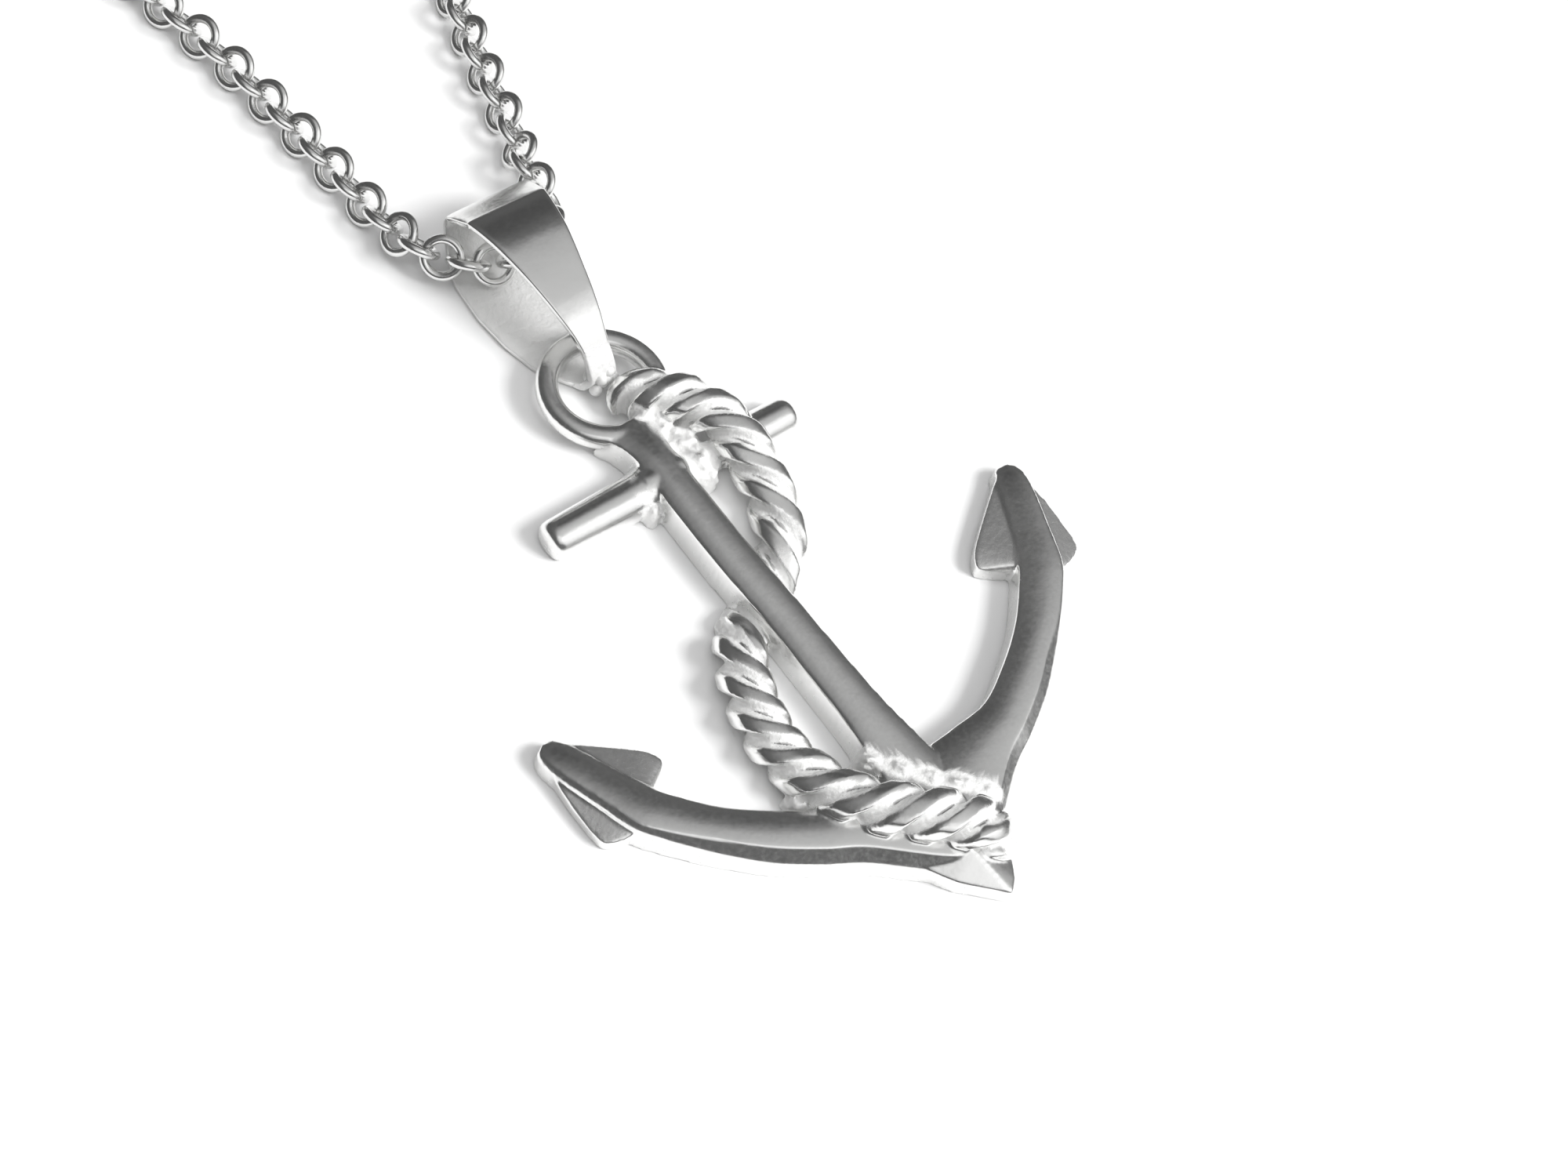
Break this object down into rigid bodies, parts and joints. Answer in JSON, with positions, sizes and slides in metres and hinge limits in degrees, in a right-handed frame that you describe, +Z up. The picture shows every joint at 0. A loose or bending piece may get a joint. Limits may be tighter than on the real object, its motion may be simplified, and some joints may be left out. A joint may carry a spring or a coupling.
{
  "type": "anchor pendant on a necklace chain",
  "caption": "Silver anchor pendant wound with a rope, on a folded bail, hung on a closed round-link necklace chain that lies on a surface.",
  "frame": {"origin": "on the anchor's flat back, on the shank's middle line, at the height of the arms' top where the anchor rests on the surface", "axes": "+X across the flukes, +Y up the shank to the bail and the chain's clasp, +Z up from the surface that the necklace lies on"},
  "size_m": [0.1105, 0.2118, 0.0042],
  "materials": {
    "anchor_silver": "polished sterling silver",
    "bail_silver": "polished sterling silver",
    "chain_front_silver": "polished sterling silver",
    "chain_back_silver": "polished sterling silver",
    "clasp_silver": "polished sterling silver"
  },
  "bodies": {
    "root": {"anchor": "anchor_silver", "bail": "bail_silver", "chain_front": "chain_front_silver", "chain_back": "chain_back_silver", "clasp": "clasp_silver"}
  },
  "joints": []
}
